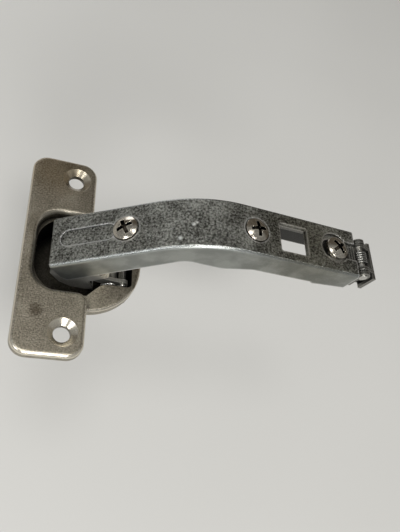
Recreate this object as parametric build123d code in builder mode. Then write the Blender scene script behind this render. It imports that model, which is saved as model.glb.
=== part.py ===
from build123d import *
import math
import os

os.makedirs("parts", exist_ok=True)

# Driving dimensions in millimetres: X along the arm, Y along the pivots, Z out of the door face

# Cup flange
flange_overhang = 1.9
flange_right = 0.9
flange_half = 33.2
flange_top = 3.0
flange_sheet = 1.6
flange_rim = 1.5
flange_corner = 4.8
flange_round = 1.5
screw_x = -5.5
screw_half = 26.0
screw_hole_r = 2.45
screw_sink_r = 4.3
screw_sink_angle = 98
screw_boss_r = 6.0

# Cup bowl and collar
collar_r = 17.5
collar_wall = 1.2
collar_root = 0.2
collar_root_depth = 0.15
collar_boss_r = 20.5
collar_bottom = -3.4
ledge_top = -0.4
ledge_sheet = 1.2
ledge_round = 1.1
bowl_wall = 1.2
bowl_floor = -10.9
bowl_bottom = -12.1
bowl_foot_round = 1.0
bowl_inset = 1.0
pocket_half = 12.6
pocket_corner = 9.0
pocket_neck_start = 0.8
pocket_neck_end = 5.4
neck_gap = 1.1
pocket_neck_corner = 2.4
pocket_neck_bend = 5.0
pocket_right = 14.6
pocket_right_corner = 1.5
wing_corner = 3.4
mouth_step = 0.35
mouth_corner = 7.0

# Linkage: pivots on the cup, then pivots on the link carrier in the closed pose
outer_cup_x = 12.4
outer_cup_z = -4.3
inner_cup_x = 9.9
inner_cup_z = -8.4
outer_arm_x = -1.8
outer_arm_z = 1.1
inner_arm_x = 4.1
inner_arm_z = 4.0
pin_r = 1.2
pin_fit = 0.04
open_pivot_clearance = 0.9
cup_pin_end = 0.3
link_eye_r = 1.85
link_barrel_r = 2.1
link_side_gap = 0.3
outer_sheet = 1.2
outer_band = 3.3
outer_bow = 1.7
inner_band = 1.5
inner_bow = 1.5
inner_loose_wall = 0.8

# Closing springs
wire = 0.7
coil_gap = 0.05
coil_pitch = 0.75
coil_turns = 1.5
coil_side_gap = 0.2
coil_leg_out = 1.25
spring_leg_rise_x = 8.6
spring_leg_rise_z = -1.0
spring_leg_tip_x = 5.4
spring_leg_tip_z = -2.9

# Die-cast arm: top line of both legs
nose_x = -12.0
nose_z = 6.0
knee_x = 24.9
knee_z = 33.7
end_x = 77.7
end_z = 30.6
arm_half = 8.25
arm_wall = 1.4
arm_top_wall = 1.6
leg_1_depth = 9.3
leg_2_depth = 8.5
end_depth = 8.0
tab_s = -11.6
tab_step = 0.9
tab_depth = 9.2
knee_low_s = 38.6
knee_low_depth = 8.1
knee_low_r = 6.0
belly_s = -41.6
belly_depth = 11.4
belly_end_s = -33.0
belly_r = 8.0
belly_end_r = 14.0
knee_top_r = 37.0
nose_cut_depth = 6.4
nose_cut_along = 1.6
nose_round = 1.0
arm_edge_round = 1.0
groove_start = 3.4
groove_length = 17.0
groove_width = 5.2
groove_y = 0.4
groove_depth = 0.5

# Screws on the arm, measured along each leg
screw_recess = 0.5
side_recess = 1.0
carrier_screw_y = 0.4
clamp_screw_y = 0.4
carrier_screw_s = 23.5
side_screw_s = -35.8
clamp_screw_s = -7.1
head_r = 3.7
head_height = 2.1
head_rim = 1.0
head_recess_gap = 0.3
screw_r = 1.95
thread_gap = 0.05
screw_clear_r = 2.3
cross_length = 4.8
cross_width = 1.1
cross_depth = 1.5
carrier_cross_turn = 22
side_cross_turn = 8
clamp_cross_turn = 38

# Window, clamp pocket and end slot
window_s = -23.1
window_length = 9.6
window_half = 4.7
window_y = -0.2
window_corner = 0.6
pocket_s = -8.0
clamp_pocket_r = 4.9
clamp_pocket_depth = 1.0
end_slot_half = 3.0
clamp_head_under = 0.3

# Link carrier: cheek outline in the closed pose
carrier_gap = 0.05
carrier_sheet = 1.2
carrier_start = 1.6
carrier_end = 27.4
cheek_low_left_x = -10.5
cheek_low_left_z = -0.1
cheek_low_mid_x = -7.2
cheek_low_mid_z = -5.0
cheek_low_x = -3.3
cheek_low_z = -7.3
cheek_tip_x = 3.9
cheek_tip_z = -7.9
cheek_waist_x = 1.2
cheek_waist_z = -2.6
cheek_back_x = 6.6
cheek_back_z = 2.2
cheek_back_s = 19.0
nut_r = 3.4
nut_height = 2.2

# Clip adapter inside the rear leg
adapter_side_gap = 0.55
adapter_sheet = 1.2
adapter_gap = 0.4
adapter_front = -41.0
adapter_plate_end = 0.8
adapter_cheek_front = -36.5
adapter_cheek_drop = 7.0
adapter_window_length = 13.0
adapter_window_half = 4.9
neck_r = 1.2
neck_slot_half = 1.6
disc_r = 2.5
disc_height = 1.0
disc_gap = 0.3
slide_travel = 1.6
tooth_pitch = 1.0
tooth_count = 3
tooth_rise = 1.1
tooth_half = 2.6
front_pin_s = -33.0
front_pin_drop = 6.2
front_pin_r = 1.5
latch_pin_s = 3.8
latch_pin_drop = 2.6
latch_pin_r = 1.3
latch_pin_proud = 0.3
ear_r = 2.2
ear_end_gap = 0.35

# Latch lever
lever_half = 6.5
lever_sheet = 1.2
lever_side_gap = 0.5
lever_plate_s = 7.3
lever_top_drop = 2.1
lever_foot_drop = 9.2
lever_hook_s = -0.6
lever_hook_drop = 6.6
lever_hook_height = 1.6
latch_wire = 0.7
latch_coil_gap = 0.25
latch_turns = 5.0
latch_pitch = 0.8
latch_leg_adapter = 4.0
latch_leg_lever = 3.4

# Widths that follow from the arm and the cup
flange_left = -collar_r - flange_overhang
pocket_left = bowl_inset + bowl_wall - collar_r
collar_inner_r = collar_r - collar_wall
channel_half = arm_half - arm_wall
carrier_half = channel_half - carrier_gap
carrier_inner = carrier_half - carrier_sheet
outer_plate_outer = carrier_inner - link_side_gap
outer_plate_inner = outer_plate_outer - outer_sheet
inner_half = outer_plate_inner - link_side_gap
adapter_half = channel_half - adapter_side_gap
adapter_inner = adapter_half - adapter_sheet
latch_pin_half = adapter_half + latch_pin_proud
pocket_neck_half = carrier_half + neck_gap
cup_pin_half = pocket_neck_half + bowl_wall + cup_pin_end
lever_cheek_outer = adapter_inner - lever_side_gap
lever_cheek_inner = lever_cheek_outer - lever_sheet
coil_start = outer_plate_outer + coil_side_gap + wire / 2
coil_leg_y = coil_start + coil_leg_out

# Both legs of the arm as planes: local X along the leg, local Z out of its top
leg_1_length = math.hypot(knee_x - nose_x, knee_z - nose_z)
leg_1_cos = (knee_x - nose_x) / leg_1_length
leg_1_sin = (knee_z - nose_z) / leg_1_length
leg_2_length = math.hypot(end_x - knee_x, end_z - knee_z)
leg_2_cos = (end_x - knee_x) / leg_2_length
leg_2_sin = (end_z - knee_z) / leg_2_length
leg_1 = Plane(origin=(nose_x, 0, nose_z), x_dir=(leg_1_cos, 0, leg_1_sin), z_dir=(-leg_1_sin, 0, leg_1_cos))
leg_2 = Plane(origin=(end_x, 0, end_z), x_dir=(leg_2_cos, 0, leg_2_sin), z_dir=(-leg_2_sin, 0, leg_2_cos))
leg_1_side = Plane(origin=(nose_x, 0, nose_z), x_dir=(leg_1_cos, 0, leg_1_sin), z_dir=(0, -1, 0))
leg_2_side = Plane(origin=(end_x, 0, end_z), x_dir=(leg_2_cos, 0, leg_2_sin), z_dir=(0, -1, 0))

# Hinge cup: flange with turned-down edge, collar, bowl and pocket
flange_mid = (flange_left + flange_right) / 2
flange_width = flange_right - flange_left
flange_inner_width = flange_width - 2 * flange_rim
flange_inner_height = 2 * (flange_half - flange_rim)
with BuildSketch() as pocket:
    with BuildLine():
        Polyline(
            (pocket_left, -pocket_half),
            (pocket_neck_start, -pocket_half),
            (pocket_neck_end, -pocket_neck_half),
            (pocket_right, -pocket_neck_half),
            (pocket_right, pocket_neck_half),
            (pocket_neck_end, pocket_neck_half),
            (pocket_neck_start, pocket_half),
            (pocket_left, pocket_half),
            close=True,
        )
    make_face()
    fillet(pocket.vertices().group_by(Axis.X)[0], radius=pocket_corner)
    fillet(pocket.vertices().group_by(Axis.X)[-1], radius=pocket_right_corner)
    neck_start = pocket.vertices().filter_by_position(Axis.X, pocket_neck_start, pocket_neck_start)
    fillet(neck_start, radius=pocket_neck_corner)
    neck_end = pocket.vertices().filter_by_position(Axis.X, pocket_neck_end, pocket_neck_end)
    fillet(neck_end, radius=pocket_neck_bend)
with BuildSketch() as bowl_outline:
    add(pocket.sketch)
    offset(amount=bowl_wall, kind=Kind.ARC)
with BuildSketch() as mouth:
    with Locations((pocket_left - mouth_step, 0)):
        Rectangle(flange_width, 2 * (pocket_half + mouth_step), align=(Align.MIN, Align.CENTER))
    fillet(mouth.vertices().group_by(Axis.X)[0], radius=mouth_corner)
with BuildSketch() as flange_outline:
    with Locations((flange_mid, 0)):
        RectangleRounded(flange_width, 2 * flange_half, flange_corner)
    add(mouth.sketch, mode=Mode.SUBTRACT)
    wing_vertices = [
        vertex
        for vertex in flange_outline.vertices().group_by(Axis.X)[-1]
        if abs(vertex.Y) < pocket_half + wing_corner
    ]
    fillet(wing_vertices, radius=wing_corner)
with BuildPart() as bowl:
    with BuildSketch(Plane.XY.offset(bowl_bottom)):
        add(bowl_outline.sketch)
    extrude(amount=ledge_top - bowl_bottom)
    fillet(bowl.edges().group_by(Axis.Z)[0], radius=bowl_foot_round)
    with BuildSketch(Plane.XY.offset(ledge_top)):
        add(bowl_outline.sketch)
        add(flange_outline.sketch, mode=Mode.INTERSECT)
    extrude(amount=flange_top - flange_round - ledge_top)
with BuildPart() as collar:
    with BuildSketch(Plane.XY.offset(collar_bottom)):
        Circle(collar_r)
    extrude(amount=ledge_top - collar_bottom)
    fillet(collar.edges().group_by(Axis.Z)[-1], radius=ledge_round)
    with BuildSketch(Plane.XY.offset(ledge_top - ledge_sheet)):
        Circle(collar_r)
        add(flange_outline.sketch, mode=Mode.INTERSECT)
    extrude(amount=ledge_sheet - ledge_top)
    with BuildSketch(Plane.XY.offset(-collar_root_depth)):
        Circle(collar_r + collar_root)
        add(flange_outline.sketch, mode=Mode.INTERSECT)
    extrude(amount=collar_root_depth)
    with BuildSketch(Plane.XY.offset(collar_bottom)):
        Circle(collar_inner_r)
    extrude(amount=ledge_top - ledge_sheet - collar_bottom, mode=Mode.SUBTRACT)
with BuildPart() as cup:
    add(flange_outline.sketch)
    extrude(amount=flange_top)
    fillet(cup.edges().group_by(Axis.Z)[-1], radius=flange_round)
    with BuildSketch():
        with Locations((flange_mid, 0)):
            RectangleRounded(flange_inner_width, flange_inner_height, flange_corner - flange_rim)
        with Locations((screw_x, screw_half), (screw_x, -screw_half)):
            Circle(screw_boss_r, mode=Mode.SUBTRACT)
        Circle(collar_boss_r, mode=Mode.SUBTRACT)
    extrude(amount=flange_top - flange_sheet, mode=Mode.SUBTRACT)
    add(collar.part)
    add(bowl.part)
    with BuildSketch(Plane.XY.offset(bowl_floor)):
        add(pocket.sketch)
    extrude(amount=flange_top - bowl_floor, mode=Mode.SUBTRACT)
    with Locations((screw_x, screw_half, flange_top), (screw_x, -screw_half, flange_top)):
        CounterSinkHole(screw_hole_r, screw_sink_r, depth=flange_top, counter_sink_angle=screw_sink_angle)
    with BuildSketch(Plane.XZ):
        with Locations((outer_cup_x, outer_cup_z), (inner_cup_x, inner_cup_z)):
            Circle(pin_r)
    extrude(amount=cup_pin_half, both=True, mode=Mode.SUBTRACT)
cup.part.label = "cup"
export_step(cup.part, "parts/cup.step")

# Cup pins, fixed in the bowl walls
with BuildPart() as cup_pin_outer:
    with BuildSketch(Plane.XZ):
        with Locations((outer_cup_x, outer_cup_z)):
            Circle(pin_r)
    extrude(amount=cup_pin_half, both=True)
cup_pin_outer.part.label = "cup_pin_outer"
export_step(cup_pin_outer.part, "parts/cup_pin_outer.step")

with BuildPart() as cup_pin_inner:
    with BuildSketch(Plane.XZ):
        with Locations((inner_cup_x, inner_cup_z)):
            Circle(pin_r)
    extrude(amount=cup_pin_half, both=True)
cup_pin_inner.part.label = "cup_pin_inner"
export_step(cup_pin_inner.part, "parts/cup_pin_inner.step")

# Outer link: two bowed plates joined by the barrel on the carrier pin
outer_mid_x = (outer_cup_x + outer_arm_x) / 2
outer_mid_z = (outer_cup_z + outer_arm_z) / 2
outer_length = math.hypot(outer_cup_x - outer_arm_x, outer_cup_z - outer_arm_z)
outer_bow_x = outer_mid_x - outer_bow * (outer_arm_z - outer_cup_z) / outer_length
outer_bow_z = outer_mid_z - outer_bow * (outer_cup_x - outer_arm_x) / outer_length
with BuildLine() as outer_spine:
    outer_arc = ThreePointArc((outer_cup_x, outer_cup_z), (outer_bow_x, outer_bow_z), (outer_arm_x, outer_arm_z))
with BuildPart() as outer_link:
    with BuildSketch(Plane.XZ.offset(outer_plate_inner)):
        SlotArc(arc=outer_arc, height=outer_band)
        with Locations((outer_cup_x, outer_cup_z)):
            Circle(link_eye_r)
        with Locations((outer_arm_x, outer_arm_z)):
            Circle(link_barrel_r)
    extrude(amount=outer_plate_outer - outer_plate_inner)
    mirror(about=Plane.XZ)
    with BuildSketch(Plane.XZ):
        with Locations((outer_arm_x, outer_arm_z)):
            Circle(link_barrel_r)
    extrude(amount=outer_plate_outer, both=True)
    with BuildSketch(Plane.XZ):
        with Locations((outer_cup_x, outer_cup_z), (outer_arm_x, outer_arm_z)):
            Circle(pin_r + pin_fit)
    extrude(amount=outer_plate_outer, both=True, mode=Mode.SUBTRACT)
outer_link.part.label = "outer_link"
export_step(outer_link.part, "parts/outer_link.step")

# Inner link: one bowed strip with an eye at each end, the carrier eye opened up
inner_mid_x = (inner_cup_x + inner_arm_x) / 2
inner_mid_z = (inner_cup_z + inner_arm_z) / 2
inner_length = math.hypot(inner_cup_x - inner_arm_x, inner_cup_z - inner_arm_z)
inner_bow_x = inner_mid_x - inner_bow * (inner_arm_z - inner_cup_z) / inner_length
inner_bow_z = inner_mid_z - inner_bow * (inner_cup_x - inner_arm_x) / inner_length
inner_loose_r = pin_r + open_pivot_clearance
with BuildLine() as inner_spine:
    inner_arc = ThreePointArc((inner_cup_x, inner_cup_z), (inner_bow_x, inner_bow_z), (inner_arm_x, inner_arm_z))
with BuildPart() as inner_link:
    with BuildSketch(Plane.XZ):
        SlotArc(arc=inner_arc, height=inner_band)
        with Locations((inner_cup_x, inner_cup_z)):
            Circle(link_eye_r)
        with Locations((inner_arm_x, inner_arm_z)):
            Circle(inner_loose_r + inner_loose_wall)
    extrude(amount=inner_half, both=True)
    with BuildSketch(Plane.XZ):
        with Locations((inner_cup_x, inner_cup_z)):
            Circle(pin_r + pin_fit)
        with Locations((inner_arm_x, inner_arm_z)):
            Circle(inner_loose_r)
    extrude(amount=inner_half, both=True, mode=Mode.SUBTRACT)
inner_link.part.label = "inner_link"
export_step(inner_link.part, "parts/inner_link.step")

# Closing springs: coil on the outer cup pin, free leg towards the link
coil_r = pin_r + coil_gap + wire / 2
coil_height = coil_turns * coil_pitch
with BuildPart() as closing_spring_left:
    with BuildLine():
        left_coil = Helix(
            coil_pitch,
            coil_height,
            coil_r,
            center=(outer_cup_x, -coil_start, outer_cup_z),
            direction=(0, -1, 0),
        )
        Spline(
            left_coil @ 1,
            (spring_leg_rise_x, -coil_leg_y, spring_leg_rise_z),
            (spring_leg_tip_x, -coil_leg_y, spring_leg_tip_z),
            tangents=(left_coil % 1, (-1, 0, -1)),
        )
    with BuildSketch(Plane(left_coil @ 0, z_dir=left_coil % 0)):
        Circle(wire / 2)
    sweep(is_frenet=True)
closing_spring_left.part.label = "closing_spring_left"
export_step(closing_spring_left.part, "parts/closing_spring_left.step")

with BuildPart() as closing_spring_right:
    add(closing_spring_left.part)
    mirror(about=Plane.XZ, mode=Mode.REPLACE)
closing_spring_right.part.label = "closing_spring_right"
export_step(closing_spring_right.part, "parts/closing_spring_right.step")


# Knee corner of the arm's outline where both leg lines lie at their own depth
def knee_corner(depth_1, depth_2):
    start_x = nose_x + depth_1 * leg_1_sin
    start_z = nose_z - depth_1 * leg_1_cos
    stop_x = end_x + depth_2 * leg_2_sin
    stop_z = end_z - depth_2 * leg_2_cos
    turn = leg_1_cos * leg_2_sin - leg_1_sin * leg_2_cos
    along = ((stop_x - start_x) * leg_2_sin - (stop_z - start_z) * leg_2_cos) / turn
    return (start_x + along * leg_1_cos, start_z + along * leg_1_sin)


# A point of leg 1 or leg 2 in the side view, from the distance along and the depth below the top
def on_leg_1(along, depth):
    return (nose_x + along * leg_1_cos + depth * leg_1_sin, nose_z + along * leg_1_sin - depth * leg_1_cos)


def on_leg_2(along, depth):
    return (end_x + along * leg_2_cos + depth * leg_2_sin, end_z + along * leg_2_sin - depth * leg_2_cos)


# Die-cast arm: side outline, channel below, then the top details
knee_low = on_leg_1(knee_low_s, knee_low_depth)
belly_low = on_leg_2(belly_s, belly_depth)
belly_end = on_leg_2(belly_end_s, leg_2_depth)
knee_inner = knee_corner(arm_top_wall, arm_top_wall)
channel_drop = leg_1_depth + arm_half
with BuildPart() as arm:
    with BuildSketch(Plane.XZ) as arm_side:
        with BuildLine():
            Polyline(
                (nose_x, nose_z),
                (knee_x, knee_z),
                (end_x, end_z),
                on_leg_2(0, end_depth),
                on_leg_2(tab_s, tab_depth),
                on_leg_2(tab_s - tab_step, leg_2_depth),
                belly_end,
                belly_low,
                knee_low,
                on_leg_1(nose_cut_along, leg_1_depth),
                on_leg_1(0, nose_cut_depth),
                close=True,
            )
        make_face()
        fillet(arm_side.vertices().filter_by_position(Axis.X, knee_x, knee_x), radius=knee_top_r)
        fillet(arm_side.vertices().filter_by_position(Axis.X, knee_low[0], knee_low[0]), radius=knee_low_r)
        fillet(arm_side.vertices().filter_by_position(Axis.X, belly_low[0], belly_low[0]), radius=belly_r)
        fillet(arm_side.vertices().filter_by_position(Axis.X, belly_end[0], belly_end[0]), radius=belly_end_r)
        fillet(arm_side.vertices().group_by(Axis.X)[0], radius=nose_round)
    extrude(amount=arm_half, both=True)
    side_edges = arm.edges().filter_by_position(Axis.Y, arm_half, arm_half)
    side_edges += arm.edges().filter_by_position(Axis.Y, -arm_half, -arm_half)
    top_edges = [
        edge
        for edge in side_edges
        if edge.length > leg_2_depth
        and max(
            leg_1.to_local_coords(edge.center()).Z,
            leg_2.to_local_coords(edge.center()).Z,
        )
        > -leg_1_depth / 2
    ]
    fillet(top_edges, radius=arm_edge_round)
    with BuildSketch(Plane.XZ) as channel_side:
        with BuildLine():
            Polyline(
                on_leg_1(-channel_drop, arm_top_wall),
                knee_inner,
                on_leg_2(channel_drop, arm_top_wall),
                on_leg_2(channel_drop, channel_drop),
                on_leg_1(-channel_drop, channel_drop),
                close=True,
            )
        make_face()
        knee_inner_vertex = channel_side.vertices().filter_by_position(Axis.X, knee_inner[0], knee_inner[0])
        fillet(knee_inner_vertex, radius=knee_top_r - arm_top_wall)
    extrude(amount=channel_half, both=True, mode=Mode.SUBTRACT)
    with BuildSketch(leg_1.offset(-groove_depth)):
        with Locations((groove_start + groove_length / 2, groove_y)):
            SlotOverall(groove_length, groove_width)
    extrude(amount=groove_depth + head_height, mode=Mode.SUBTRACT)
    with BuildSketch(leg_1.offset(-screw_recess)):
        with Locations((carrier_screw_s, carrier_screw_y)):
            Circle(head_r + head_recess_gap)
    extrude(amount=screw_recess + head_height, mode=Mode.SUBTRACT)
    with BuildSketch(leg_1):
        with Locations((carrier_screw_s, carrier_screw_y)):
            Circle(screw_clear_r)
    extrude(amount=-carrier_half, mode=Mode.SUBTRACT)
    with BuildSketch(leg_2.offset(-side_recess)):
        with Locations((side_screw_s, 0)):
            Circle(head_r + head_recess_gap)
    extrude(amount=side_recess + head_height, mode=Mode.SUBTRACT)
    with BuildSketch(leg_2):
        with Locations((side_screw_s, 0)):
            Circle(screw_r + thread_gap)
    extrude(amount=-carrier_half, mode=Mode.SUBTRACT)
    with BuildSketch(leg_2):
        with Locations((window_s, window_y)):
            RectangleRounded(window_length, 2 * window_half, window_corner)
    extrude(amount=-carrier_half, mode=Mode.SUBTRACT)
    with BuildSketch(leg_2.offset(-clamp_pocket_depth)):
        with Locations((pocket_s, clamp_screw_y)):
            Circle(clamp_pocket_r)
    extrude(amount=clamp_pocket_depth + head_height, mode=Mode.SUBTRACT)
    with BuildSketch(leg_2):
        with Locations((pocket_s - screw_clear_r / 2, clamp_screw_y)):
            Circle(end_slot_half)
        with Locations((pocket_s / 2, clamp_screw_y)):
            Rectangle(-pocket_s + screw_clear_r, 2 * end_slot_half)
    extrude(amount=-carrier_half, mode=Mode.SUBTRACT)
arm.part.label = "arm"
export_step(arm.part, "parts/arm.step")

# Link carrier: steel channel inside leg 1, cheeks reaching down to both carrier pins
carrier_under = arm_top_wall + carrier_sheet
with BuildPart() as link_carrier:
    with BuildSketch(Plane.XZ) as cheek_side:
        with BuildLine():
            Polyline(
                on_leg_1(carrier_start, arm_top_wall),
                (cheek_low_left_x, cheek_low_left_z),
                (cheek_low_mid_x, cheek_low_mid_z),
                (cheek_low_x, cheek_low_z),
                (cheek_tip_x, cheek_tip_z),
                (cheek_waist_x, cheek_waist_z),
                (cheek_back_x, cheek_back_z),
                on_leg_1(cheek_back_s, carrier_under),
                on_leg_1(cheek_back_s, arm_top_wall),
                close=True,
            )
        make_face()
    extrude(amount=carrier_half, both=True)
    with BuildSketch(leg_1_side):
        with Locations((carrier_end / 2, -carrier_under)):
            Rectangle(2 * carrier_end, channel_drop, align=(Align.CENTER, Align.MAX))
    extrude(amount=carrier_inner, both=True, mode=Mode.SUBTRACT)
    with BuildSketch(leg_1_side):
        with Locations((carrier_start, -arm_top_wall)):
            Rectangle(carrier_end - carrier_start, carrier_sheet, align=(Align.MIN, Align.MAX))
    extrude(amount=carrier_half, both=True)
    with BuildSketch(leg_1.offset(-arm_top_wall)):
        with Locations((carrier_screw_s, carrier_screw_y)):
            Circle(screw_r + thread_gap)
    extrude(amount=-carrier_sheet, mode=Mode.SUBTRACT)
    with BuildSketch(Plane.XZ):
        with Locations((outer_arm_x, outer_arm_z), (inner_arm_x, inner_arm_z)):
            Circle(pin_r)
    extrude(amount=carrier_half, both=True, mode=Mode.SUBTRACT)
link_carrier.part.label = "link_carrier"
export_step(link_carrier.part, "parts/link_carrier.step")

# Carrier pins, riveted flush in the cheeks
with BuildPart() as carrier_pin_outer:
    with BuildSketch(Plane.XZ):
        with Locations((outer_arm_x, outer_arm_z)):
            Circle(pin_r)
    extrude(amount=carrier_half, both=True)
carrier_pin_outer.part.label = "carrier_pin_outer"
export_step(carrier_pin_outer.part, "parts/carrier_pin_outer.step")

with BuildPart() as carrier_pin_inner:
    with BuildSketch(Plane.XZ):
        with Locations((inner_arm_x, inner_arm_z)):
            Circle(pin_r)
    extrude(amount=carrier_half, both=True)
carrier_pin_inner.part.label = "carrier_pin_inner"
export_step(carrier_pin_inner.part, "parts/carrier_pin_inner.step")

# Screw head with a domed top and a cross slot, shared by the three screws
with BuildPart() as screw_head:
    with BuildSketch(Plane.XZ):
        with BuildLine():
            Polyline((0, head_height), (0, 0), (head_r, 0), (head_r, head_rim))
            TangentArc((0, head_height), (head_r, head_rim), tangent=(1, 0))
        make_face()
    revolve(axis=Axis.Z)
    with BuildSketch(Plane.XY.offset(head_height)):
        Rectangle(cross_length, cross_width)
        Rectangle(cross_width, cross_length)
    extrude(amount=-cross_depth, mode=Mode.SUBTRACT)

# Carrier nut under the carrier plate, and the screw through arm, plate and nut
with BuildPart() as carrier_nut:
    with BuildSketch(leg_1.offset(-carrier_under)):
        with Locations((carrier_screw_s, carrier_screw_y)):
            RegularPolygon(radius=nut_r, side_count=6)
            Circle(screw_r + thread_gap, mode=Mode.SUBTRACT)
    extrude(amount=-nut_height)
carrier_nut.part.label = "carrier_nut"
export_step(carrier_nut.part, "parts/carrier_nut.step")

with BuildPart() as carrier_screw:
    carrier_screw_seat = leg_1.offset(-screw_recess).location * Pos(carrier_screw_s, carrier_screw_y)
    add(screw_head.part.moved(carrier_screw_seat * Rot(0, 0, carrier_cross_turn)))
    with BuildSketch(leg_1.offset(-screw_recess)):
        with Locations((carrier_screw_s, carrier_screw_y)):
            Circle(screw_r)
    extrude(amount=screw_recess - carrier_under - nut_height)
carrier_screw.part.label = "carrier_screw"
export_step(carrier_screw.part, "parts/carrier_screw.step")

# Side adjusting screw: thread in the arm, neck and disc held in the adapter's fork
side_head_under = clamp_head_under - side_recess
plate_top = arm_top_wall + adapter_gap
plate_under = plate_top + adapter_sheet
with BuildPart() as side_screw:
    side_screw_seat = leg_2.offset(side_head_under).location * Pos(side_screw_s, 0)
    add(screw_head.part.moved(side_screw_seat * Rot(0, 0, side_cross_turn)))
    with BuildSketch(leg_2.offset(side_head_under)):
        with Locations((side_screw_s, 0)):
            Circle(screw_r)
    extrude(amount=-arm_top_wall - side_head_under)
    with BuildSketch(leg_2.offset(-arm_top_wall)):
        with Locations((side_screw_s, 0)):
            Circle(neck_r)
    extrude(amount=arm_top_wall - plate_under - disc_gap)
    with BuildSketch(leg_2.offset(-plate_under - disc_gap)):
        with Locations((side_screw_s, 0)):
            Circle(disc_r)
    extrude(amount=-disc_height)
side_screw.part.label = "side_screw"
export_step(side_screw.part, "parts/side_screw.step")

# Clip adapter: plate, cheeks with pin ears, fork for the side screw, window and teeth
cheek_low_depth = plate_top + adapter_cheek_drop
tooth_length = tooth_count * tooth_pitch
fork_end = side_screw_s + slide_travel
ear_front = slide_travel + ear_end_gap
with BuildPart() as adapter:
    with BuildSketch(leg_2_side):
        Polygon(
            (adapter_cheek_front, -plate_top),
            (adapter_plate_end, -plate_top),
            (latch_pin_s, -latch_pin_drop),
            (latch_pin_s, -cheek_low_depth),
            (adapter_cheek_front, -cheek_low_depth),
            align=None,
        )
        with Locations((latch_pin_s, -latch_pin_drop)):
            Circle(ear_r)
    extrude(amount=adapter_half, both=True)
    with BuildSketch(leg_2_side):
        with Locations((ear_front, -plate_top)):
            Rectangle(channel_drop, channel_drop, align=(Align.MAX, Align.MIN))
    extrude(amount=adapter_half, both=True, mode=Mode.SUBTRACT)
    with BuildSketch(leg_2_side):
        with Locations((adapter_front, 0)):
            Rectangle(leg_2_length, 2 * channel_drop, align=(Align.MIN, Align.CENTER))
    extrude(amount=adapter_inner, both=True, mode=Mode.SUBTRACT)
    with BuildSketch(leg_2_side):
        with Locations((adapter_front, -plate_top)):
            Rectangle(adapter_plate_end - adapter_front, adapter_sheet, align=(Align.MIN, Align.MAX))
    extrude(amount=adapter_half, both=True)
    with BuildSketch(leg_2_side.offset(-clamp_screw_y)):
        with Locations((adapter_plate_end - tooth_length, -plate_top)):
            Rectangle(tooth_length, tooth_rise / 2, align=(Align.MIN, Align.MIN))
        for tooth in range(tooth_count):
            tooth_mid = adapter_plate_end - tooth_pitch * (tooth + 1 / 2)
            Polygon(
                (tooth_mid - tooth_pitch / 2, tooth_rise / 2 - plate_top),
                (tooth_mid + tooth_pitch / 2, tooth_rise / 2 - plate_top),
                (tooth_mid, tooth_rise - plate_top),
                align=None,
            )
    extrude(amount=tooth_half, both=True)
    with BuildSketch(leg_2.offset(-plate_top)):
        with Locations((fork_end, 0)):
            Circle(neck_slot_half)
        with Locations((adapter_front, 0)):
            Rectangle(fork_end - adapter_front, 2 * neck_slot_half, align=(Align.MIN, Align.CENTER))
        with Locations((window_s, 0)):
            RectangleRounded(adapter_window_length, 2 * adapter_window_half, window_corner)
        with Locations((clamp_screw_s, clamp_screw_y)):
            Circle(screw_r + thread_gap)
    extrude(amount=-adapter_sheet, mode=Mode.SUBTRACT)
    with BuildSketch(leg_2_side):
        with Locations((front_pin_s, -plate_top - front_pin_drop)):
            Circle(front_pin_r)
        with Locations((latch_pin_s, -latch_pin_drop)):
            Circle(latch_pin_r)
    extrude(amount=adapter_half, both=True, mode=Mode.SUBTRACT)
adapter.part.label = "adapter"
export_step(adapter.part, "parts/adapter.step")

# Adapter pins, fixed in its cheeks
with BuildPart() as front_pin:
    with BuildSketch(leg_2_side):
        with Locations((front_pin_s, -plate_top - front_pin_drop)):
            Circle(front_pin_r)
    extrude(amount=adapter_half, both=True)
front_pin.part.label = "front_pin"
export_step(front_pin.part, "parts/front_pin.step")

with BuildPart() as latch_pin:
    with BuildSketch(leg_2_side):
        with Locations((latch_pin_s, -latch_pin_drop)):
            Circle(latch_pin_r)
    extrude(amount=latch_pin_half, both=True)
latch_pin.part.label = "latch_pin"
export_step(latch_pin.part, "parts/latch_pin.step")

# Clamp screw: head in the arm's pocket, thread in the adapter plate
clamp_under = clamp_head_under - clamp_pocket_depth
with BuildPart() as clamp_screw:
    clamp_screw_seat = leg_2.offset(clamp_under).location * Pos(clamp_screw_s, clamp_screw_y)
    add(screw_head.part.moved(clamp_screw_seat * Rot(0, 0, clamp_cross_turn)))
    with BuildSketch(leg_2.offset(clamp_under)):
        with Locations((clamp_screw_s, clamp_screw_y)):
            Circle(screw_r)
    extrude(amount=-plate_under - clamp_under)
clamp_screw.part.label = "clamp_screw"
export_step(clamp_screw.part, "parts/clamp_screw.step")

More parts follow.
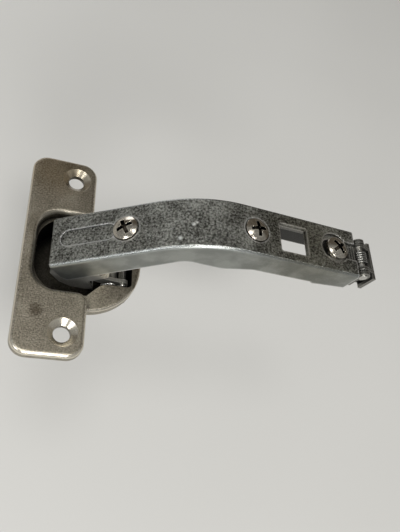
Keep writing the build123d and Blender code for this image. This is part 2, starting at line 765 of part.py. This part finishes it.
# Latch lever: end plate and two cheeks with hooks, turning on the latch pin
lever_eye_r = ear_r - pin_fit
with BuildPart() as latch_lever:
    with BuildSketch(leg_2_side):
        with Locations((latch_pin_s, -latch_pin_drop)):
            Circle(lever_eye_r)
        Polygon(
            (latch_pin_s, lever_eye_r - latch_pin_drop),
            (lever_plate_s + lever_sheet, -lever_top_drop),
            (lever_plate_s + lever_sheet, -lever_foot_drop),
            (lever_hook_s, -lever_foot_drop),
            (lever_hook_s, lever_hook_height - lever_foot_drop),
            (latch_pin_s - lever_sheet, lever_hook_height - lever_foot_drop),
            (latch_pin_s - lever_eye_r, -latch_pin_drop),
            align=None,
        )
    extrude(amount=lever_cheek_outer, both=True)
    with BuildSketch(leg_2_side):
        with Locations((ear_front, -plate_top)):
            Rectangle(channel_drop, channel_drop, align=(Align.MAX, Align.MIN))
    extrude(amount=lever_cheek_outer, both=True, mode=Mode.SUBTRACT)
    with BuildSketch(leg_2_side):
        with Locations((lever_plate_s, 0)):
            Rectangle(channel_drop, 2 * channel_drop, align=(Align.MAX, Align.CENTER))
    extrude(amount=lever_cheek_inner, both=True, mode=Mode.SUBTRACT)
    with BuildSketch(leg_2_side):
        with Locations((lever_plate_s, -lever_top_drop)):
            Rectangle(lever_sheet, lever_foot_drop - lever_top_drop, align=(Align.MIN, Align.MAX))
    extrude(amount=lever_half, both=True)
    with BuildSketch(leg_2_side):
        with Locations((latch_pin_s, -latch_pin_drop)):
            Circle(latch_pin_r + pin_fit)
    extrude(amount=lever_cheek_outer, both=True, mode=Mode.SUBTRACT)
latch_lever.part.label = "latch_lever"
export_step(latch_lever.part, "parts/latch_lever.step")

# Latch spring: coil round the latch pin, one leg under the adapter plate, one to the lever
latch_coil_r = latch_pin_r + latch_coil_gap + latch_wire / 2
latch_coil_height = latch_turns * latch_pitch
latch_centre = on_leg_2(latch_pin_s, latch_pin_drop)
with BuildPart() as latch_spring:
    with BuildLine():
        latch_coil = Helix(
            latch_pitch,
            latch_coil_height,
            latch_coil_r,
            center=(latch_centre[0], latch_coil_height / 2, latch_centre[1]),
            direction=(0, -1, 0),
        )
        Line(latch_coil @ 0 - latch_coil % 0 * latch_leg_adapter, latch_coil @ 0)
        Line(latch_coil @ 1, latch_coil @ 1 + latch_coil % 1 * latch_leg_lever)
    with BuildSketch(Plane(latch_coil @ 0 - latch_coil % 0 * latch_leg_adapter, z_dir=latch_coil % 0)):
        Circle(latch_wire / 2)
    sweep(is_frenet=True)
latch_spring.part.label = "latch_spring"
export_step(latch_spring.part, "parts/latch_spring.step")
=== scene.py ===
import bpy
from collections import namedtuple
from mathutils import Matrix, Vector

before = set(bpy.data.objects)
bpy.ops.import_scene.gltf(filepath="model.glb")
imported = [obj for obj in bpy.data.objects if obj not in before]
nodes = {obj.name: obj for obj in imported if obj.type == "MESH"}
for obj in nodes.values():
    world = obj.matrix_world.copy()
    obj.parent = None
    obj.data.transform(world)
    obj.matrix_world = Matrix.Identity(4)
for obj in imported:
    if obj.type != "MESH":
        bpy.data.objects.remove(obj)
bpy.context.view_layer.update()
MM = 0.001

# Details that a metal may have, with lengths in millimetres
Side = namedtuple("Side", "dark light roughness beyond")
# polished edge band: smoother, with its lighter colour a painted highlight
PolishGlint = namedtuple("PolishGlint", "axis colour smoother bump_left")
Specks = namedtuple("Specks", "size strength colour")
# painted shade in corners and creases, from short-range occlusion
CreviceShade = namedtuple("CreviceShade", "distance darkest")
# painted shade deep in hollows, from long-range occlusion
DeepShade = namedtuple("DeepShade", "distance open_from open_to darkest")
# worn edges, lightened partly by wear and partly as a painted highlight
WearGlint = namedtuple("WearGlint", "width strength")
Plane = namedtuple("Plane", "point normal")
# painted shade below top faces, inside pockets and windows
RecessShade = namedtuple("RecessShade", "tops near far reach factor round_part")
# round spots: smudges and nicks, and wide patches of painted shade and reflection
SmudgeAndShade = namedtuple("SmudgeAndShade", "middle radius strength tint blend_type")

# Noise: sizes in millimetres
CLOUD_SIZE, CLOUD_DETAIL = 7, 4
FINE_DETAIL, FINE_ROUGHNESS = 6, 0.65
TONE_RANGE = (0.3, 0.7)
SPECK_EDGE = (0.12, 0.34)
SPECK_PATCHES = (0.45, 0.6)
SIDE_CONTRAST = (0.42, 0.60)

# How far a face turns from an axis, 0 to 1, where each effect fades in or out
SIDE_LEAN = (0.55, 0.9)
POLISH_GLINT_IN = (0.08, 0.3)
POLISH_GLINT_OUT = (0.8, 0.97)
WALL_LEAN = (0.6, 0.9)

# Occlusion, 0 closed to 1 open, for the painted corner shade and for the worn edges with their painted highlight
CREVICE_SHADE_OPEN = (0.35, 0.85)
WEAR_GLINT_OPEN = (0.4, 0.97)

# Strengths
SIDE_BUMP_LEFT = 0.25
POLISH_GLINT_SHARE = 0.8
WEAR_GLINT_GAIN, WEAR_GLINT_LIMIT = 1.35, 0.8

# Where a smudge, nick or patch of painted shade starts and stops fading, in shares of its radius
SMUDGE_AND_SHADE_INNER, SMUDGE_AND_SHADE_OUTER = 0.7, 1.5

# Places and fades in millimetres
FADE = 0.3
OUTWARD_FADE = 0.5
OUTER_WALL_LOW, OUTER_WALL_TOP = -2.0, -0.5


class Graph:
    """Adds nodes to a node tree and links them; values are sockets or numbers."""

    def __init__(self, tree):
        self.tree = tree

    def node(self, kind, **values):
        made = self.tree.nodes.new(kind)
        for key, value in values.items():
            setattr(made, key, value)
        return made

    def feed(self, socket, value):
        if isinstance(value, bpy.types.NodeSocket):
            self.tree.links.new(value, socket)
        else:
            socket.default_value = value

    def maths(self, operation, *values):
        made = self.node("ShaderNodeMath", operation=operation)
        for socket, value in zip(made.inputs, values):
            self.feed(socket, value)
        return made.outputs["Value"]

    def add(self, first, second):
        return self.maths("ADD", first, second)

    def subtract(self, first, second):
        return self.maths("SUBTRACT", first, second)

    def multiply(self, first, second):
        return self.maths("MULTIPLY", first, second)

    def magnitude(self, value):
        return self.maths("ABSOLUTE", value)

    def remap(self, source, low, high, to_low=0, to_high=1, smooth=False):
        made = self.node("ShaderNodeMapRange")
        if smooth:
            made.interpolation_type = "SMOOTHSTEP"
        self.feed(made.inputs["Value"], source)
        self.feed(made.inputs["From Min"], low)
        self.feed(made.inputs["From Max"], high)
        self.feed(made.inputs["To Min"], to_low)
        self.feed(made.inputs["To Max"], to_high)
        return made.outputs["Result"]

    def inverse(self, mask, lowest=0):
        return self.remap(mask, 0, 1, 1, lowest)

    def mix(self, blend_type, factor, first, second):
        made = self.node("ShaderNodeMix", data_type="RGBA", blend_type=blend_type)
        self.feed(made.inputs["Factor"], factor)
        for socket, value in ((made.inputs[6], first), (made.inputs[7], second)):
            self.feed(socket, (*value, 1) if isinstance(value, tuple) else value)
        return made.outputs[2]

    def two_tone(self, factor, low, high, dark, light):
        made = self.node("ShaderNodeValToRGB")
        stops = made.color_ramp.elements
        stops[0].position, stops[0].color = low, (*dark, 1)
        stops[1].position, stops[1].color = high, (*light, 1)
        self.feed(made.inputs["Fac"], factor)
        return made.outputs["Color"]

    def split(self, vector):
        made = self.node("ShaderNodeSeparateXYZ")
        self.feed(made.inputs["Vector"], vector)
        return [made.outputs[letter] for letter in "XYZ"]

    def vector_maths(self, operation, vector, constant):
        made = self.node("ShaderNodeVectorMath", operation=operation)
        self.feed(made.inputs[0], vector)
        self.feed(made.inputs[1], constant)
        return made.outputs["Value"]

    def noise(self, vector, size, detail, roughness=0.5):
        made = self.node("ShaderNodeTexNoise")
        self.feed(made.inputs["Vector"], vector)
        self.feed(made.inputs["Scale"], 1 / (size * MM))
        self.feed(made.inputs["Detail"], detail)
        self.feed(made.inputs["Roughness"], roughness)
        return made.outputs["Fac"]

    def dots(self, vector, size):
        made = self.node("ShaderNodeTexVoronoi")
        self.feed(made.inputs["Vector"], vector)
        self.feed(made.inputs["Scale"], 1 / (size * MM))
        return made.outputs["Distance"]

    def occlusion(self, distance, inside=False):
        made = self.node("ShaderNodeAmbientOcclusion", samples=8, inside=inside, only_local=True)
        self.feed(made.inputs["Distance"], distance * MM)
        return made.outputs["AO"]

    def depth_under(self, tops, place):
        """How far a point lies below the lowest of some planes."""
        depth = None
        for point, normal in tops:
            level = (Vector(point) * MM).dot(Vector(normal))
            under = self.subtract(level, self.vector_maths("DOT_PRODUCT", place, normal))
            depth = under if depth is None else self.maths("MINIMUM", depth, under)
        return depth


# Metals: noise drives colour, roughness and relief; occlusion paints shade into corners and hollows, and
# lightens worn edges with a painted highlight
def metal(name, dark, light, metallic, base_roughness, swing, grain, relief, lift=0.4, patchy=0.4,
          contrast=(0.36, 0.66), round_edge=0.18, crevice_shade=CreviceShade(1.5, 0.35), wear_glint=WearGlint(0.45, 0.35),
          specks=None, side=None, polish_glint=None, recess_shade=None, deep_shade_setting=None, smudges_and_shade=()):
    mat = bpy.data.materials.new(name)
    mat.use_nodes = True
    graph = Graph(mat.node_tree)
    shader = mat.node_tree.nodes["Principled BSDF"]
    coord = graph.node("ShaderNodeTexCoord")
    place = coord.outputs["Object"]
    x, y, z = graph.split(place)
    normal = dict(zip("XYZ", graph.split(coord.outputs["Normal"])))

    cloud = graph.noise(place, CLOUD_SIZE, CLOUD_DETAIL)
    fine = graph.noise(place, grain, FINE_DETAIL, FINE_ROUGHNESS)
    tone = graph.add(graph.multiply(fine, 1 - patchy), graph.multiply(cloud, patchy))
    colour = graph.two_tone(tone, *contrast, dark, light)
    roughness = graph.remap(tone, *TONE_RANGE, base_roughness - swing, base_roughness + swing)
    height = fine
    from_middle = graph.magnitude(y)

    if specks:
        gate = graph.remap(graph.dots(place, specks.size), *SPECK_EDGE, specks.strength, 0)
        gate = graph.multiply(gate, graph.remap(cloud, *SPECK_PATCHES))
        colour = graph.mix("MIX", gate, colour, specks.colour)

    if side:
        mask = graph.remap(graph.magnitude(normal["Y"]), *SIDE_LEAN, smooth=True)
        outside = graph.remap(from_middle, side.beyond * MM, (side.beyond + FADE) * MM)
        mask = graph.multiply(mask, outside)
        soft = graph.two_tone(cloud, *SIDE_CONTRAST, side.dark, side.light)
        colour = graph.mix("MIX", mask, colour, soft)
        rest = graph.multiply(roughness, graph.inverse(mask))
        roughness = graph.add(rest, graph.multiply(mask, side.roughness))
        height = graph.multiply(fine, graph.inverse(mask, SIDE_BUMP_LEFT))

    # Polished edge band: smoother and less bumpy, and its lighter colour is a painted highlight
    if polish_glint:
        lean = graph.magnitude(normal[polish_glint.axis])
        band = graph.multiply(graph.remap(lean, *POLISH_GLINT_IN, smooth=True),
                              graph.remap(lean, *POLISH_GLINT_OUT, 1, 0, smooth=True))
        colour = graph.mix("MIX", graph.multiply(band, POLISH_GLINT_SHARE), colour, polish_glint.colour)
        roughness = graph.subtract(roughness, graph.multiply(band, polish_glint.smoother))
        height = graph.multiply(height, graph.inverse(band, polish_glint.bump_left))

    outer_wall = None
    # Painted shade: colour darkens with depth below the top faces, near the middle
    if recess_shade:
        hidden = graph.remap(graph.depth_under(recess_shade.tops, place), recess_shade.near * MM, recess_shade.far * MM)
        away = from_middle
        if recess_shade.round_part:
            # Painted shade falls only on walls that face the axis, and the bowl's outside stays unshaded
            away = graph.maths("SQRT", graph.add(graph.maths("POWER", x, 2), graph.maths("POWER", y, 2)))
            wall = graph.remap(graph.magnitude(normal["Z"]), *WALL_LEAN, 1, 0)
            outward = graph.add(graph.multiply(normal["X"], x), graph.multiply(normal["Y"], y))
            outward = graph.remap(outward, -OUTWARD_FADE * MM, OUTWARD_FADE * MM)
            low = graph.remap(z, OUTER_WALL_LOW * MM, OUTER_WALL_TOP * MM, 1, 0)
            outer_wall = graph.multiply(outward, graph.multiply(wall, low))
            hidden = graph.multiply(graph.multiply(hidden, wall), graph.subtract(1, outer_wall))
        within = graph.remap(away, recess_shade.reach * MM, (recess_shade.reach + FADE) * MM, 1, 0)
        hidden = graph.multiply(hidden, within)
        recess_shade_colour = tuple(recess_shade.factor * channel for channel in light)
        colour = graph.mix("MIX", hidden, colour, recess_shade_colour)

    # Convex edges lighten, partly as wear and partly as a painted highlight
    wear_glint_colour = tuple(min(WEAR_GLINT_GAIN * channel, WEAR_GLINT_LIMIT) for channel in light)
    wear_glint_mask = graph.remap(graph.occlusion(wear_glint.width, inside=True), *WEAR_GLINT_OPEN, wear_glint.strength, 0)
    colour = graph.mix("MIX", wear_glint_mask, colour, wear_glint_colour)

    # Round spots: smudges and nicks, and wide patches of painted shade and reflection
    for smudge_and_shade in smudges_and_shade:
        radius = smudge_and_shade.radius * MM
        distance = graph.vector_maths("DISTANCE", place, Vector(smudge_and_shade.middle) * MM)
        ragged = graph.add(distance, graph.multiply(tone, radius))
        spot = graph.remap(ragged, radius * SMUDGE_AND_SHADE_INNER, radius * SMUDGE_AND_SHADE_OUTER, smudge_and_shade.strength, 0,
                           smooth=True)
        colour = graph.mix(smudge_and_shade.blend_type, spot, colour, smudge_and_shade.tint)

    # Painted shade: short-range occlusion darkens corners, creases and slots
    shade = graph.remap(graph.occlusion(crevice_shade.distance), *CREVICE_SHADE_OPEN, crevice_shade.darkest, 1)
    # Painted shade deep in hollows such as the cup's pocket and the arm's window
    if deep_shade_setting:
        deep_shade = graph.remap(graph.occlusion(deep_shade_setting.distance), deep_shade_setting.open_from, deep_shade_setting.open_to,
                                 deep_shade_setting.darkest, 1)
        if outer_wall:
            deep_shade = graph.maths("MAXIMUM", deep_shade, outer_wall)
        shade = graph.multiply(shade, deep_shade)
    grey = graph.node("ShaderNodeCombineColor")
    for channel in ("Red", "Green", "Blue"):
        graph.feed(grey.inputs[channel], shade)
    colour = graph.mix("MULTIPLY", 1.0, colour, grey.outputs["Color"])

    bevel = graph.node("ShaderNodeBevel", samples=4)
    graph.feed(bevel.inputs["Radius"], round_edge * MM)
    bump = graph.node("ShaderNodeBump")
    graph.feed(bump.inputs["Strength"], relief)
    graph.feed(bump.inputs["Distance"], grain * MM * lift)
    graph.feed(bump.inputs["Height"], height)
    graph.feed(bump.inputs["Normal"], bevel.outputs["Normal"])
    graph.feed(shader.inputs["Metallic"], metallic)
    graph.feed(shader.inputs["Base Color"], colour)
    graph.feed(shader.inputs["Roughness"], roughness)
    graph.feed(shader.inputs["Normal"], bump.outputs["Normal"])
    return mat


# Top faces that the painted recess shade lies under, and the bright nicks on the arm
cup_top = Plane((0, 0, 3.0), (0, 0, 1))
rear_top = Plane((77.7, 0, 30.6), (0.0586, 0, 0.9983))
front_top = Plane((-12.0, 0, 6.0), (-0.6004, 0, 0.7997))
knee_top = Plane((25.6, 0, 31.4), (-0.2885, 0, 0.9575))
nick_colour = (0.80, 0.82, 0.80)
nicks = [SmudgeAndShade(middle, radius, 1.0, nick_colour, "MIX")
         for middle, radius in (((19.8, -5.1, 29.1), 0.9), ((23.3, -0.8, 30.6), 0.8), ((24.2, -0.2, 30.8), 0.6))]

cup_mat = metal(
    "cup_nickel", dark=(0.15, 0.130, 0.097), light=(0.42, 0.382, 0.305), metallic=0.9,
    base_roughness=0.33, swing=0.06, grain=0.5, relief=0.9, lift=0.4, patchy=0.25, contrast=(0.38, 0.62),
    polish_glint=PolishGlint("Z", (0.74, 0.69, 0.585), 0.10, 0.05),
    recess_shade=RecessShade((cup_top,), 2.2, 4.2, 17.0, 0.08, round_part=True),
    crevice_shade=CreviceShade(3.0, 0.18), deep_shade_setting=DeepShade(22.0, 0.45, 0.92, 0.02),
    smudges_and_shade=(SmudgeAndShade((-13.5, -20.3, 3.0), 3.0, 0.75, (0.30, 0.26, 0.22), "MULTIPLY"),
             # The next, wide spot on the upper wing is painted shade and reflection, darker and browner
             SmudgeAndShade((-12.0, 29.0, 3.0), 15.0, 1.0, (0.78, 0.71, 0.61), "MULTIPLY")))
arm_mat = metal(
    "arm_cast", dark=(0.085, 0.086, 0.076), light=(0.66, 0.67, 0.62), metallic=0.95,
    base_roughness=0.31, swing=0.08, grain=0.6, relief=0.8, lift=0.6, patchy=0.25, contrast=(0.44, 0.68),
    round_edge=0.28, wear_glint=WearGlint(0.7, 1.0),
    specks=Specks(1.3, 0.6, (0.50, 0.52, 0.50)),
    side=Side((0.225, 0.234, 0.219), (0.31, 0.32, 0.30), 0.42, 7.3),
    polish_glint=PolishGlint("Y", (0.30, 0.315, 0.305), 0.08, 0.3),
    recess_shade=RecessShade((rear_top, front_top, knee_top), 0.7, 1.3, 7.0, 0.12, round_part=False),
    crevice_shade=CreviceShade(0.9, 0.2), deep_shade_setting=DeepShade(9.0, 0.25, 0.6, 0.25),
    # The wide spot over the rear of the arm is painted shade, darkening and warming the rear leg
    smudges_and_shade=(*nicks, SmudgeAndShade((60.0, 0.0, 34.0), 26.0, 1.0, (0.64, 0.615, 0.55), "MULTIPLY")))
link_mat = metal(
    "link_satin", dark=(0.38, 0.372, 0.338), light=(0.52, 0.51, 0.465), metallic=0.85,
    base_roughness=0.46, swing=0.05, grain=0.5, relief=0.2, wear_glint=WearGlint(0.45, 0.5))
pin_mat = metal(
    "pin_smooth", dark=(0.40, 0.39, 0.36), light=(0.60, 0.59, 0.56), metallic=0.95,
    base_roughness=0.22, swing=0.06, grain=0.4, relief=0.12)
spring_mat = metal(
    "spring_bright", dark=(0.45, 0.44, 0.41), light=(0.68, 0.67, 0.63), metallic=0.95,
    base_roughness=0.22, swing=0.06, grain=0.3, relief=0.12)
coil_mat = metal(
    "spring_dark", dark=(0.12, 0.12, 0.11), light=(0.30, 0.295, 0.275), metallic=0.95,
    base_roughness=0.24, swing=0.06, grain=0.3, relief=0.12)
screw_mat = metal(
    "screw_plated", dark=(0.31, 0.28, 0.235), light=(0.60, 0.56, 0.485), metallic=1.0,
    base_roughness=0.13, swing=0.04, grain=0.5, relief=0.2,
    crevice_shade=CreviceShade(2.0, 0.02), wear_glint=WearGlint(0.45, 0.6))
adapter_mat = metal(
    "adapter_dark", dark=(0.07, 0.069, 0.062), light=(0.24, 0.235, 0.215), metallic=0.9,
    base_roughness=0.30, swing=0.08, grain=0.5, relief=0.3,
    crevice_shade=CreviceShade(1.5, 0.2), deep_shade_setting=DeepShade(8.0, 0.25, 0.6, 0.3), wear_glint=WearGlint(0.45, 1.0),
    recess_shade=RecessShade((rear_top,), 2.6, 3.4, 5.3, 0.12, round_part=False))

looks = {
    "cup": cup_mat,
    "cup_pin_outer": pin_mat,
    "cup_pin_inner": pin_mat,
    "closing_spring_left": spring_mat,
    "closing_spring_right": spring_mat,
    "outer_link": link_mat,
    "inner_link": link_mat,
    "arm": arm_mat,
    "link_carrier": link_mat,
    "carrier_pin_outer": pin_mat,
    "carrier_pin_inner": pin_mat,
    "carrier_nut": screw_mat,
    "carrier_screw": screw_mat,
    "side_screw": screw_mat,
    "clamp_screw": screw_mat,
    "adapter": adapter_mat,
    "front_pin": pin_mat,
    "latch_pin": pin_mat,
    "latch_lever": adapter_mat,
    "latch_spring": coil_mat,
}
for name, mat in looks.items():
    mesh = nodes[name].data
    mesh.materials.clear()
    mesh.materials.append(mat)

# Floor: pale and level, clear of the arm when it swings down
FLOOR_WIDTH = 6.0
FLOOR_LEVEL = -82 * MM
bpy.ops.mesh.primitive_plane_add(size=FLOOR_WIDTH, location=(0, 0, FLOOR_LEVEL))
floor = bpy.context.object
floor.name = "floor"
floor_mat = bpy.data.materials.new("floor_pale")
floor_mat.use_nodes = True
floor_graph = Graph(floor_mat.node_tree)
floor_shader = floor_mat.node_tree.nodes["Principled BSDF"]
floor_cloud = floor_graph.node("ShaderNodeTexNoise")
floor_graph.feed(floor_cloud.inputs["Scale"], 30)
floor_colour = floor_graph.two_tone(floor_cloud.outputs["Fac"], 0, 1, (0.53, 0.525, 0.505), (0.60, 0.595, 0.575))
floor_graph.feed(floor_shader.inputs["Base Color"], floor_colour)
floor_graph.feed(floor_shader.inputs["Roughness"], 0.6)
floor.data.materials.append(floor_mat)

# Camera at the photograph's viewing angle
right = Vector((0.925, -0.026, 0.380)).normalized()
ahead = Vector((0.348, 0.463, -0.815)).normalized()
up = right.cross(ahead).normalized()
right = ahead.cross(up).normalized()
camera_data = bpy.data.cameras.new("camera")
camera_data.sensor_width = 36
camera_data.lens = 35.99
camera_data.clip_start = 0.01
camera_data.clip_end = 20
camera = bpy.data.objects.new("camera", camera_data)
bpy.context.scene.collection.objects.link(camera)
pose = Matrix((right, up, -ahead)).transposed().to_4x4()
pose.translation = Vector((-24.44, -79.04, 145.76)) * MM
camera.matrix_world = pose
bpy.context.scene.camera = camera

# Soft studio lamps, aimed at the middle of the arm: name, place in metres, width, watts, colour
WARM, COOL = (1, 0.99, 0.97), (0.97, 0.98, 1)
arm_middle = Vector((30, 0, 12)) * MM
for name, place, width, watts, colour in (
    ("key", (0.005, -1.25, 0.71), 0.55, 9.5, WARM),
    ("high_front", (0.03, -0.75, 1.33), 0.40, 9.5, WARM),
    ("front_left", (-1.0, -0.85, 0.83), 0.55, 5.5, COOL),
    ("overhead", (-0.30, 0.0, 1.68), 0.50, 3.5, WARM),
    ("rear", (-0.25, 1.35, 0.20), 0.60, 2.4, COOL),
):
    lamp_data = bpy.data.lights.new(name, "AREA")
    lamp_data.shape = "DISK"
    lamp_data.size = width
    lamp_data.energy = watts
    lamp_data.color = colour
    lamp = bpy.data.objects.new(name, lamp_data)
    lamp.location = place
    lamp.rotation_euler = (arm_middle - Vector(place)).to_track_quat("-Z", "Y").to_euler()
    bpy.context.scene.collection.objects.link(lamp)

# World: a soft change from light in front to a warm dark beyond the object
SKY_DIRECTION = (0.15, 0.9, -0.5)
SKY_TURN = (-0.12, 0.20)
world = bpy.data.worlds.new("studio")
world.use_nodes = True
bpy.context.scene.world = world
sky = Graph(world.node_tree)
background = world.node_tree.nodes["Background"]
direction = sky.node("ShaderNodeTexCoord").outputs["Generated"]
beyond = sky.remap(sky.vector_maths("DOT_PRODUCT", direction, SKY_DIRECTION), *SKY_TURN, smooth=True)
sky.feed(background.inputs["Color"], sky.mix("MIX", beyond, (0.80, 0.81, 0.80), (0.31, 0.275, 0.23)))
sky.feed(background.inputs["Strength"], 0.46)

bpy.context.scene.view_settings.view_transform = "Standard"
